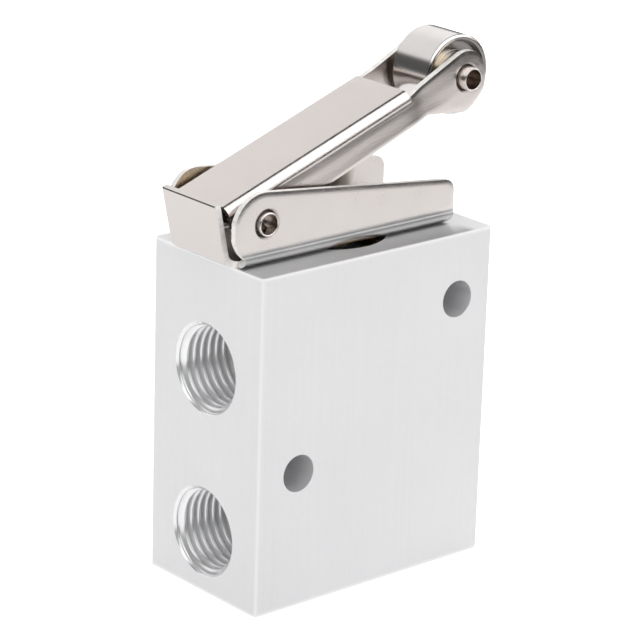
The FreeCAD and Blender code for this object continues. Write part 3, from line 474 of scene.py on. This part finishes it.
def drawn_aluminium():
    """Clear anodised block: fine upright die lines, matt grain, and a painted highlight on its broken
    edges.
    """
    finish = Finish("drawn_aluminium", (0.80, 0.80, 0.81), 0.55, 0.42)
    grain = finish.group(GRAIN, Stretch=(1.0, 1.0, 0.012), Grain_Scale=2600.0,
                         Cloud_Scale=60.0, Tone_Swing=0.07)
    speck = finish.group(GRAIN, Grain_Scale=5200.0, Cloud_Scale=900.0, Tone_Swing=0.03)
    edges = finish.group(BOX_EDGES, Half_Size=tuple((BLOCK_HIGH - BLOCK_LOW) / 2), Width=0.55 * MM,
                         Centre=tuple((BLOCK_HIGH + BLOCK_LOW) / 2))
    on_top = finish.band("Z", BLOCK_HIGH.z - 0.05 * MM, FAR, 0.02 * MM)
    strip = finish.product(on_top, finish.band("Y", -FAR, -EAR_OUT - 0.1 * MM, 3.6 * MM),
                           finish.band("X", STRIP_START, FAR, STRIP_FADE),
                           finish.band("X", -FAR, STRIP_END, 1.5 * MM))
    foot = finish.product(on_top, finish.band("Y", 5.0 * MM, EAR_OUT - 0.35 * MM, 0.30 * MM, both=True),
                          finish.band("X", FOOT_START, FOOT_END, 0.8 * MM))
    shade = finish.product(finish.math("MULTIPLY_ADD", strip, -STRIP_SHADE, 1.0),
                           finish.math("MULTIPLY_ADD", foot, -FOOT_SHADE, 1.0))
    # Painted highlight: the ring round the bore's recess, on the block's top.
    flat = vector_node(finish.tree, "MULTIPLY", object_place(finish.tree), (1, 1, 0))
    from_bore = vector_node(finish.tree, "LENGTH", flat)
    rim = finish.product(on_top, finish.math("COMPARE", from_bore, RECESS_RIM, RECESS_RIM_HALF))
    toned = finish.tint(grain["Tone"], speck["Tone"], shade)
    # Painted highlight: the broken edges and the ring round the bore's recess go pale.
    finish.blend(finish.math("MAXIMUM", edges["Mask"], rim), (0.98, 0.98, 0.98), toned)
    finish.rough(grain["Height"], 0.34, 0.50)
    finish.bump(grain["Height"], 0.006 * MM, 0.6)
    finish.bump(speck["Height"], 0.004 * MM, 0.5)
    return finish.material


def cut_thread():
    """Tapped aluminium, brighter than the block because the tap cut the skin away."""
    finish = Finish("cut_thread", (0.96, 0.96, 0.97), 0.68, 0.22)
    marks = finish.group(GRAIN, Stretch=(6.0, 1.0, 1.0), Grain_Scale=1500.0,
                         Cloud_Scale=300.0, Tone_Swing=0.06)
    finish.tint(marks["Tone"])
    finish.rough(marks["Clouds"], 0.16, 0.28)
    finish.bump(marks["Height"], 0.005 * MM, 0.5)
    return finish.material


PLATING_GRAIN = 0.022 * MM
# Brushed foot bends with painted shade, heights above the block: bottom, start of the darker part, top.
BEND_LOW, BEND_DARK, BEND_TOP = -0.5 * MM, 1.2 * MM, 2.5 * MM


def bracket_sheet(name, colour, roughness):
    """The bracket's nickel plating.

    The ears' foot bends are brushed, with painted shade that makes them greyer than the rest and darker
    further up. The inner face of the far ear has painted warm light towards its round end.
    """
    finish = Finish(name, colour, 1.0, roughness)
    grain = finish.group(GRAIN, Grain_Scale=5200.0, Cloud_Scale=260.0, Tone_Swing=0.05)
    brushed = finish.group(GRAIN, Stretch=(0.04, 1.0, 1.0), Grain_Scale=3800.0, Tone_Swing=0.9)["Tone"]
    top = BLOCK_HIGH.z
    bends = finish.band("Y", EAR_OUT - 1.5 * MM, FAR, 0.3 * MM, both=True)
    surface = finish.tint(grain["Tone"])
    # Painted shade on the brushed foot bends: grey from the bottom, darker from BEND_DARK up.
    for low, tone in ((BEND_LOW, (0.58, 0.575, 0.57)), (BEND_DARK, (0.34, 0.34, 0.34))):
        stripe = finish.band("Z", top + low, top + BEND_TOP, 0.4 * MM)
        surface = finish.blend(finish.product(stripe, bends, brushed), tone, surface)
    # Painted warm light on the far ear's inner face, towards its round end.
    inner_face = EAR_OUT - SHEET
    inner = finish.product(finish.band("Y", inner_face - 0.08 * MM, inner_face + 0.08 * MM, 0.02 * MM),
                           finish.band("X", -FAR, -8.0 * MM, 6.0 * MM),
                           finish.band("Z", top + 5.5 * MM, FAR, 2.0 * MM))
    finish.blend(inner, (0.80, 0.72, 0.58), surface)
    finish.rough(grain["Clouds"], roughness - 0.06, roughness + 0.08)
    finish.bump(grain["Height"], PLATING_GRAIN)
    return finish.material


def cut_sheet(name, colour):
    """Where the sheet was cut: torn and whitish, grainy across the sheet."""
    finish = Finish(name, colour, 0.30, 0.42)
    grain = finish.group(GRAIN, Stretch=(1.0, 0.35, 1.0), Grain_Scale=3400.0, Cloud_Scale=900.0,
                         Tone_Swing=0.50)
    finish.tint(grain["Tone"])
    finish.rough(grain["Height"], 0.30, 0.55)
    finish.bump(grain["Height"], 0.03 * MM)
    return finish.material


EYE_DOME, EYE_SPREAD = 0.4 * MM, 5.0 * MM
LEAN_START = 8.0 * MM      # from the roller pin, and over EYE_SPREAD more the lean grows full


def lever_sheet(name, colour, roughness):
    """The lever's nickel plating, on sides that lean and eyes that are slightly domed.

    The dome's height is EYE_DOME * exp(-(radius / EYE_SPREAD) ** 2).
    """
    finish = Finish(name, colour, 1.0, roughness)
    grain = finish.group(GRAIN, Grain_Scale=5200.0, Cloud_Scale=260.0, Tone_Swing=0.05)
    waves = finish.group(SIDE_WAVES, Up=tuple(WEB_UP), Zero=tuple(PIVOT))
    radius = finish.group(LATHE, Centre=tuple(ROLLER_PIN))["Radius"]
    spread = finish.math("DIVIDE", radius, EYE_SPREAD)
    fading = finish.math("EXPONENT", finish.product(spread, spread, -1.0))
    off_eye = finish.math("MULTIPLY_ADD", radius, 1 / EYE_SPREAD, -LEAN_START / EYE_SPREAD, clamp=True)
    finish.tint(grain["Tone"])
    finish.rough(grain["Clouds"], roughness - 0.05, roughness + 0.07)
    domed = finish.math("MULTIPLY_ADD", fading, EYE_DOME, waves["Height"])
    leaned = finish.product(waves["Shoulder"], off_eye)
    finish.bump(finish.math("SUBTRACT", domed, leaned), 1.0)
    finish.bump(grain["Height"], PLATING_GRAIN)
    return finish.material


def turned_steel(name, colour, centre, roughness, ring_swing):
    """Lathe-turned plated steel with rings about a level axis."""
    finish = Finish(name, colour, 1.0, roughness)
    rings = finish.group(LATHE, Centre=tuple(centre), Ring_Pitch=0.22 * MM, Ring_Swing=ring_swing)
    grain = finish.group(GRAIN, Stretch=(1.0, 0.1, 1.0), Grain_Scale=2600.0,
                         Cloud_Scale=300.0, Tone_Swing=0.05)
    finish.tint(rings["Tone"], grain["Tone"])
    finish.rough(rings["Height"], roughness - 0.05, roughness + 0.10)
    finish.bump(rings["Height"], 0.02 * MM, 0.5)
    return finish.material


RECESS_LIP = 0.4 * MM      # the roller's turned recess starts this far inside its tread


def ground_roller(name, colour):
    """A ground tread and rim. The turned recess has painted shade, and painted warm light on its left.
    """
    finish = Finish(name, colour, 1.0, 0.16)
    rings = finish.group(LATHE, Centre=tuple(ROLLER_PIN), Ring_Pitch=0.20 * MM, Ring_Swing=0.3)
    deep = finish.group(LATHE, Centre=tuple(ROLLER_PIN), Ring_Pitch=0.45 * MM, Ring_Swing=1.6)
    grain = finish.group(GRAIN, Stretch=(1.0, 0.1, 1.0), Grain_Scale=2600.0, Cloud_Scale=300.0,
                         Tone_Swing=0.05)
    plain = finish.tint(rings["Tone"], grain["Tone"])
    # Painted shade in the turned recess, and painted warm light on its left side.
    shaded_recess = finish.tint(deep["Tone"], colour=(0.30, 0.28, 0.27))
    recess = finish.math("LESS_THAN", rings["Radius"], ROLLER_HIGH.x - ROLLER_PIN.x - RECESS_LIP)
    left = finish.band("X", -FAR, ROLLER_PIN.x - 0.5 * MM, 1.5 * MM)
    warm_lit_left = finish.blend(finish.product(recess, left), (0.70, 0.64, 0.55), plain)
    finish.blend(finish.product(recess, finish.math("SUBTRACT", 1.0, left)), shaded_recess, warm_lit_left)
    finish.rough(rings["Height"], 0.10, 0.22)
    finish.bump(rings["Height"], 0.02 * MM, 0.5)
    return finish.material


# Radii of a drilled pin end: hole, turned down end, and the scale of the ramp over them.
DRILL_RADIUS, PIN_END_RADIUS, PIN_SCALE = 1.45 * MM, 1.70 * MM, 2.0 * MM
# Colours: painted shade in the drilled hole, the plated rim, and painted shade on the pin in the gap
# round its end.
HOLE_SHADE, RIM, GAP_SHADE = (0.17, 0.125, 0.10), (0.80, 0.76, 0.73), (0.035, 0.028, 0.024)


def drilled_pin(name, centre):
    """A pin's plated rim, with painted shade in its drilled hole and in the gap round its end."""
    finish = Finish(name, RIM, 1.0, 0.2)
    rings = finish.group(LATHE, Centre=tuple(centre), Ring_Pitch=0.16 * MM, Ring_Swing=0.5)
    grain = finish.group(GRAIN, Grain_Scale=1500.0, Cloud_Scale=600.0, Tone_Swing=0.5)
    share = finish.math("DIVIDE", rings["Radius"], PIN_SCALE)
    hole, end = DRILL_RADIUS / PIN_SCALE, PIN_END_RADIUS / PIN_SCALE
    zones = ramp(finish.tree, share, [(hole - 0.01, HOLE_SHADE), (hole + 0.005, RIM), (end + 0.005, RIM),
                                      (end + 0.02, GAP_SHADE)])
    finish.tint(rings["Tone"], grain["Tone"], colour=zones)
    finish.rough(rings["Height"], 0.14, 0.30)
    finish.bump(rings["Height"], 0.03 * MM, 0.5)
    finish.bump(grain["Height"], 0.12 * MM, 0.5)
    return finish.material


def plain_metal(name, colour, roughness, stretch=(1.0, 1.0, 1.0)):
    """Small metal parts: even tone with light handling marks."""
    finish = Finish(name, colour, 1.0, roughness)
    grain = finish.group(GRAIN, Stretch=stretch, Grain_Scale=2400.0, Cloud_Scale=400.0,
                         Tone_Swing=0.10)
    finish.tint(grain["Tone"])
    finish.rough(grain["Clouds"], roughness - 0.05, roughness + 0.10)
    finish.bump(grain["Height"], 0.005 * MM, 0.5)
    return finish.material


def moulded(name, colour, roughness, swing=0.06):
    """Moulded plastic or rubber: soft mottling and a fine matt skin."""
    finish = Finish(name, colour, 0.0, roughness)
    finish.put("IOR", 1.47)
    skin = finish.group(GRAIN, Grain_Scale=3200.0, Cloud_Scale=300.0, Tone_Swing=swing)
    finish.tint(skin["Tone"])
    finish.rough(skin["Clouds"], roughness - 0.08, roughness + 0.08)
    finish.bump(skin["Height"], 0.006 * MM, 0.5)
    return finish.material


# Pieces

SHARP = math.radians(28)   # edges that turn more than this stay sharp and get broken
CUT_TURN = math.radians(60)  # a sheet's flat face turns more than this into a cut edge
WELD = 0.002 * MM
ROLL_BANDS = 4


def give_object(name, mesh, body):
    """Put a mesh into the scene as a piece of one body."""
    piece = bpy.data.objects.new(name, mesh)
    bpy.context.scene.collection.objects.link(piece)
    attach(piece, body)
    return piece


def merged_copy(node, name):
    """A welded copy of a CAD node's mesh, its flat faces joined again."""
    mesh = frame["nodes"][node].data.copy()
    mesh.name = name
    work = bmesh.new()
    work.from_mesh(mesh)
    bmesh.ops.remove_doubles(work, verts=work.verts, dist=WELD)
    bmesh.ops.dissolve_degenerate(work, dist=WELD / 2, edges=work.edges)
    bmesh.ops.dissolve_limit(work, angle_limit=math.radians(0.6), verts=work.verts,
                             edges=work.edges, delimit={"NORMAL"})
    for face in work.faces:
        face.material_index = 0
    return mesh, work


def close_copy(mesh, work, materials):
    """Write the welded copy back, smooth but for its sharp edges."""
    for face in work.faces:
        face.smooth = True
    for edge in work.edges:
        edge.smooth = len(edge.link_faces) == 2 and edge.calc_face_angle(0) < SHARP
    mesh.materials.clear()
    for material in materials:
        mesh.materials.append(material)
    work.to_mesh(mesh)
    work.free()


def break_edges(piece, width):
    """Round every sharp edge a little, and let the large faces set the shading normals."""
    bevel = piece.modifiers.new("broken_edges", "BEVEL")
    bevel.width, bevel.segments = width, 2
    bevel.limit_method, bevel.angle_limit = "ANGLE", SHARP
    bevel.use_clamp_overlap = True
    weighted = piece.modifiers.new("flat_faces_lead", "WEIGHTED_NORMAL")
    weighted.keep_sharp = True


def dressed_copy(node, name, body, material, edge):
    """A CAD node's own shape, with its edges broken."""
    mesh, work = merged_copy(node, name)
    close_copy(mesh, work, [material])
    piece = give_object(name, mesh, body)
    break_edges(piece, edge)
    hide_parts(node)


def roll_rim(work, side, up, beyond, width, drop):
    """Sink the rim of a sheet's flat face where the punch drew it in.

    The faces that look along side, lie square to it and are beyond a distance along it
    get narrow bands. A point at distance d from a cut edge sinks by
    drop * (1 - d / width) ** 2.
    """
    chosen = {face for face in work.faces if face.normal.dot(side) > 0.9
              and abs(face.normal.dot(up)) < 0.01 and face.calc_center_median().dot(side) > beyond}
    starts, ends = [], []
    for face in chosen:
        for edge in face.edges:
            if (any(other not in chosen for other in edge.link_faces)
                    and edge.calc_face_angle(0) > CUT_TURN):
                starts.append(edge.verts[0].co[:])
                ends.append(edge.verts[1].co[:])
    touched = {vert for face in chosen for vert in face.verts}
    for _ in range(ROLL_BANDS):
        made = bmesh.ops.inset_region(work, faces=list(chosen), thickness=width / ROLL_BANDS,
                                      use_boundary=True, use_even_offset=True)
        touched |= {vert for face in made["faces"] for vert in face.verts}
    touched |= {vert for face in chosen for vert in face.verts}
    starts, ends = np.array(starts), np.array(ends)
    along = ends - starts
    length = np.maximum((along ** 2).sum(axis=1), 1e-16)
    for vert in touched:
        here = np.array(vert.co[:])
        share = np.clip(((here - starts) * along).sum(axis=1) / length, 0, 1)
        near = np.sqrt((((starts + along * share[:, None]) - here) ** 2).sum(axis=1).min())
        if near < width:
            vert.co -= Vector(side) * (drop * (1 - near / width) ** 2)


def smooth_step(low, high, value):
    """0 below low, 1 above high, and 3 s ** 2 - 2 s ** 3 of the share s between them."""
    share = min(max((value - low) / (high - low), 0), 1)
    return share * share * (3 - 2 * share)


# How far the far ear's round end and the flap's near edge move, and the distances from the
# bore's axis, along -X, between which each move grows.
EAR_TUCK, EAR_TUCK_START, EAR_TUCK_FULL = 0.55 * MM, 18.5 * MM, 22.5 * MM
FLAP_TUCK, FLAP_TUCK_START, FLAP_TUCK_FULL = 0.5 * MM, 21.0 * MM, 21.8 * MM
FLAP_START = 21.2 * MM     # along -X, and between the ears only the flap is past it


def shape_bracket(place):
    """Move one point of the bracket by its tuck times a smooth step along -X.

    The far ear's round end moves along +X, and the flap's near edge along +Y.
    """
    bend_start = EAR_OUT - 1.2 * MM
    if place.y > bend_start and place.z > BLOCK_HIGH.z + 1.2 * MM:
        place.x += EAR_TUCK * smooth_step(EAR_TUCK_START, EAR_TUCK_FULL, -place.x)
    if -bend_start < place.y < -5.0 * MM:
        place.y += FLAP_TUCK * smooth_step(FLAP_TUCK_START, FLAP_TUCK_FULL, -place.x)


def bracket_cut(centre, normal):
    """Whether a face is a cut edge of an ear or one of the flap's two ends."""
    across = abs(normal.y)
    if abs(centre.y) > EAR_OUT - SHEET - 0.01 * MM:
        return across < 0.06
    return centre.x < -FLAP_START and across > 0.9


def lever_cut(centre, normal):
    """Whether a face is a cut edge of a side or of an arm of the fork."""
    return abs(normal.y) < 0.06 and abs(centre.y) > ARM_OUT - FORK_DRAWN_IN - SHEET - 0.01 * MM


EYE_FULLER, EYE_FLATTER = 1.64 * MM, 0.3 * MM
EYES_START = 33.0 * MM                   # along the web from the pivot
LEAN_RATE, LEAN_ZERO = 0.125, -0.9 * MM  # inward move per rise, and the height without one
LEAN_ABOVE, LEAN_BELOW = 2.4 * MM, 0.35 * MM   # how far from that height the lean still grows
LEAN_BEND = 1.5 * MM                     # from the sheet's inner face outwards
LEAN_FADE, LEAN_END = 30.0 * MM, 32.0 * MM     # along the web from the pivot


def shape_lever(place):
    """Move one point of the lever.

    The sides lean in by LEAN_RATE of the height above LEAN_ZERO, and out below it, as a
    channel springs back after bending. The lean grows from nothing over the bend and ends
    before the eyes. The eyes are fuller below and flatter at the tip, each by its
    size times smooth steps ahead of the roller pin, above it and away from its hole.
    """
    from_pivot = place - PIVOT
    along, up = from_pivot.dot(WEB_ALONG), from_pivot.dot(WEB_UP)
    out = abs(place.y)
    ahead, over = along - EYE_ALONG, up - EYE_UP
    if along > EYES_START:
        clear_of_hole = smooth_step(2.25 * MM, 2.9 * MM, math.hypot(ahead, over))
        fuller = smooth_step(-7.2 * MM, -3.9 * MM, ahead) * (1 - smooth_step(-3.9 * MM, 1.9 * MM, ahead))
        below = smooth_step(0.9 * MM, 1.97 * MM, -over)
        flatter = smooth_step(2.2 * MM, 3.6 * MM, ahead) * (1 - smooth_step(0.5 * MM, 3.0 * MM, over))
        place -= WEB_UP * (EYE_FULLER * clear_of_hole * fuller * below)
        place -= WEB_ALONG * (EYE_FLATTER * clear_of_hole * flatter)
    bend_start = ARM_OUT - FORK_DRAWN_IN - SHEET
    if out > bend_start and along < LEAN_END:
        lean = min(max(LEAN_ZERO - up, -LEAN_ABOVE), LEAN_BELOW) * LEAN_RATE
        share = min((out - bend_start) / LEAN_BEND, 1) * (1 - smooth_step(LEAN_FADE, LEAN_END, along))
        place.y += lean * share * math.copysign(1, place.y)


def pressed_copy(node, name, body, materials, flats, is_cut, shape, edge):
    """A pressed sheet: rolled rims on its flat faces, and a grainy cut edge all round.

    Flats are (side, up, beyond, roll width, roll drop). Is_cut tells a cut face by its
    centre and normal. Shape moves one point.
    """
    mesh, work = merged_copy(node, name)
    for face in work.faces:
        face.material_index = int(is_cut(face.calc_center_median(), face.normal))
    for side, up, beyond, width, drop in flats:
        roll_rim(work, Vector(side), Vector(up), beyond, width, drop)
    for vert in work.verts:
        shape(vert.co)
    broad = [face for face in work.faces if len(face.verts) > 4]
    bmesh.ops.triangulate(work, faces=broad)
    work.normal_update()
    close_copy(mesh, work, materials)
    piece = give_object(name, mesh, body)
    break_edges(piece, edge)
    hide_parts(node)


def coil_copy(node, name, body, material):
    """A coil spring: a welded copy of the CAD node's mesh, smooth shaded, as a piece with its own mesh.
    """
    mesh, work = merged_copy(node, name)
    close_copy(mesh, work, [material])
    piece = give_object(name, mesh, body)
    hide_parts(node)
    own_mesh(piece)


PORTS = ("supply_port", "exhaust_port", "outlet_port")
MOUTH_RADIUS = 6.75 * MM
THREAD_PITCH = 1.337 * MM
THREAD_DEPTH = 0.856 * MM
PORT_DEPTH = 11.8 * MM
AROUND, PER_PITCH = 144, 14              # grid points round a thread and along one pitch
# The thread's trapezoid wave: the flat at its crest and its flank, as shares of half a
# pitch, and how much of a smooth step rounds it.
CREST_FLAT, FLANK, ROUNDING = 0.10, 0.78, 0.35


def port_axis(name):
    """Side along X, height above the base and crest radius of a port."""
    mount = MOUNTS[name]
    return round(mount["axis"][0]), mount["pos_m"][2], mount["dims"]["r_mm"] * MM


def make_block(material, thread_material):
    """The block without its smooth port walls, and a threaded wall for each port."""
    mesh, work = merged_copy("valve_body", "ported_block")
    spare = 0.02 * MM
    doomed = []
    for face in work.faces:
        for name in PORTS:
            side, height, crest = port_axis(name)
            spread = [math.hypot(v.co.y, v.co.z - height) for v in face.verts]
            depth = [BLOCK_HIGH.x - side * v.co.x for v in face.verts]
            if (min(spread) > crest - spare and max(spread) < MOUTH_RADIUS + spare
                    and max(depth) < PORT_DEPTH + spare and max(depth) > spare):
                doomed.append(face)
    bmesh.ops.delete(work, geom=doomed, context="FACES")
    close_copy(mesh, work, [material])
    block = give_object("ported_block", mesh, "housing")
    break_edges(block, 0.14 * MM)
    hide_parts("valve_body")
    for name in PORTS:
        make_thread(name, thread_material)


def make_thread(port, material):
    """Tapped wall of a port on a grid of turn and depth.

    The radius is the crest radius plus the thread depth times a trapezoid wave of
    (depth / pitch + turn). Near the face the wider of that and the countersunk cone
    counts, and over the last pitch the thread runs out.
    """
    side, height, crest = port_axis(port)
    down = int(PORT_DEPTH / THREAD_PITCH * PER_PITCH)
    turn, depth = np.meshgrid(np.arange(AROUND) / AROUND, np.linspace(0, PORT_DEPTH, down),
                              indexing="ij")
    wave = np.abs(2 * ((depth / THREAD_PITCH + turn) % 1) - 1)
    groove = np.clip((wave - CREST_FLAT) / FLANK, 0, 1)
    groove = groove + ROUNDING * (groove * groove * (3 - 2 * groove) - groove)
    run_out = np.clip((PORT_DEPTH - depth) / THREAD_PITCH, 0, 1)
    radius = np.maximum(crest + THREAD_DEPTH * groove * run_out, MOUTH_RADIUS - depth)
    angle = 2 * math.pi * turn
    points = np.stack([side * (BLOCK_HIGH.x - depth), radius * np.cos(angle) * side,
                       height + radius * np.sin(angle)], axis=-1).reshape(-1, 3)
    index = np.arange(AROUND * down).reshape(AROUND, down)
    ahead = np.roll(index, -1, axis=0)
    faces = np.stack([index[:, :-1], ahead[:, :-1], ahead[:, 1:], index[:, 1:]], axis=-1)
    mesh = bpy.data.meshes.new(port + "_thread")
    mesh.from_pydata(points.tolist(), [], faces.reshape(-1, 4)[:, ::-1].tolist())
    mesh.shade_smooth()
    mesh.materials.append(material)
    give_object(port + "_thread", mesh, "housing")


# Width and drop of the rolled rims of ears, flap and the lever's sides.
EAR_ROLL, FLAP_ROLL, SIDE_ROLL = (0.88 * MM, 0.137 * MM), (0.4 * MM, 0.15 * MM), (0.7 * MM, 0.06 * MM)
FLAP_BEYOND = 11.5 * MM    # along the way the flap looks, just short of its outer face


def make_bracket(cut_finish):
    """The bracket. The rims of both ears and of the flap are rolled."""
    finish = bracket_sheet("bracket_nickel_plate", (0.750, 0.705, 0.682), 0.24)
    flap_out = (-math.cos(FLAP_LEAN), 0, -math.sin(FLAP_LEAN))
    flats = [((0, way, 0), (0, 0, 1), EAR_OUT - 0.1 * MM, *EAR_ROLL) for way in (-1, 1)]
    flats.append((flap_out, (0, 1, 0), FLAP_BEYOND, *FLAP_ROLL))
    pressed_copy("lever_bracket", "bracket_pressing", "housing",
                 [finish, cut_finish], flats, bracket_cut, shape_bracket, 0.10 * MM)


def make_lever(cut_finish):
    """The lever. The rims of its sides are rolled less than the bracket's."""
    finish = lever_sheet("lever_nickel_plate", (0.765, 0.710, 0.685), 0.20)
    beyond = ARM_OUT - FORK_DRAWN_IN - 0.1 * MM
    flats = [((0, way, 0), WEB_UP, beyond, *SIDE_ROLL) for way in (-1, 1)]
    pressed_copy("roller_lever", "lever_pressing", "lever",
                 [finish, cut_finish], flats, lever_cut, shape_lever, 0.10 * MM)


def make_turned_pieces(screw_finish):
    """Pins, roller, the washers beside it, and the bracket's screws, with broken edges."""
    dressed_copy("pivot_pin", "pivot_pin_turned", "housing",
                 drilled_pin("pin_nickel_plate", PIVOT), 0.08 * MM)
    dressed_copy("roller_pin", "roller_pin_turned", "lever",
                 drilled_pin("roller_pin_nickel_plate", ROLLER_PIN), 0.08 * MM)
    dressed_copy("roller", "roller_ground", "roller",
                 ground_roller("ground_roller_steel", (0.80, 0.77, 0.755)), 0.10 * MM)
    washer_finish = turned_steel("washer_steel_turned", (0.68, 0.66, 0.64), ROLLER_PIN, 0.24, 0.15)
    for place in ("front", "rear"):
        dressed_copy("roller_washer_" + place, "roller_side_washer_" + place, "lever",
                     washer_finish, 0.06 * MM)
    dressed_copy("bracket_screws", "bracket_socket_screws", "housing", screw_finish,
                 0.08 * MM)


def dress_kept_nodes(screw_finish):
    """Give the CAD nodes whose shape stays their finish."""
    brass = plain_metal("turned_brass", (0.66, 0.46, 0.20), 0.28, (1.0, 1.0, 8.0))
    cage = moulded("cage_acetal", (0.78, 0.76, 0.70), 0.45)
    rubber = moulded("nitrile_rubber", (0.020, 0.020, 0.021), 0.55, 0.25)
    finishes = {
        "bracket_screw_washers": screw_finish, "guide_bush": brass, "bottom_plug": brass,
        "plunger": plain_metal("ground_plunger", (0.74, 0.69, 0.64), 0.38, (1.0, 1.0, 0.1)),
        "roller_bush": plain_metal("sintered_bronze", (0.48, 0.30, 0.14), 0.45),
        "spool": plain_metal("ground_spool", (0.62, 0.62, 0.62), 0.22, (1.0, 1.0, 8.0)),
        "retaining_ring": plain_metal("phosphated_ring", (0.66, 0.55, 0.46), 0.45)}
    for node in ("supply_cage", "outlet_cage", "exhaust_cage"):
        finishes[node] = cage
    for node in ("lower_spool_seal", "middle_spool_seal", "upper_spool_seal", "bottom_plug_seal",
                 "guide_bush_seal", "plunger_wiper"):
        finishes[node] = rubber
    for node, material in finishes.items():
        mesh = frame["nodes"][node].data
        mesh.materials.clear()
        mesh.materials.append(material)


make_camera()
make_world()
make_floor()
make_lamps()

make_block(drawn_aluminium(), cut_thread())
cut_edges = cut_sheet("cut_sheet_edge", (0.86, 0.84, 0.82))
make_bracket(cut_edges)
make_lever(cut_edges)
zinc = plain_metal("zinc_screws", (0.55, 0.55, 0.57), 0.30)
make_turned_pieces(zinc)
coil_copy("return_spring", "return_spring_coil", "housing",
          plain_metal("drawn_spring_wire", (0.30, 0.30, 0.31), 0.30))
dress_kept_nodes(zinc)

bpy.context.scene.view_settings.view_transform = "Standard"
bpy.context.view_layer.update()
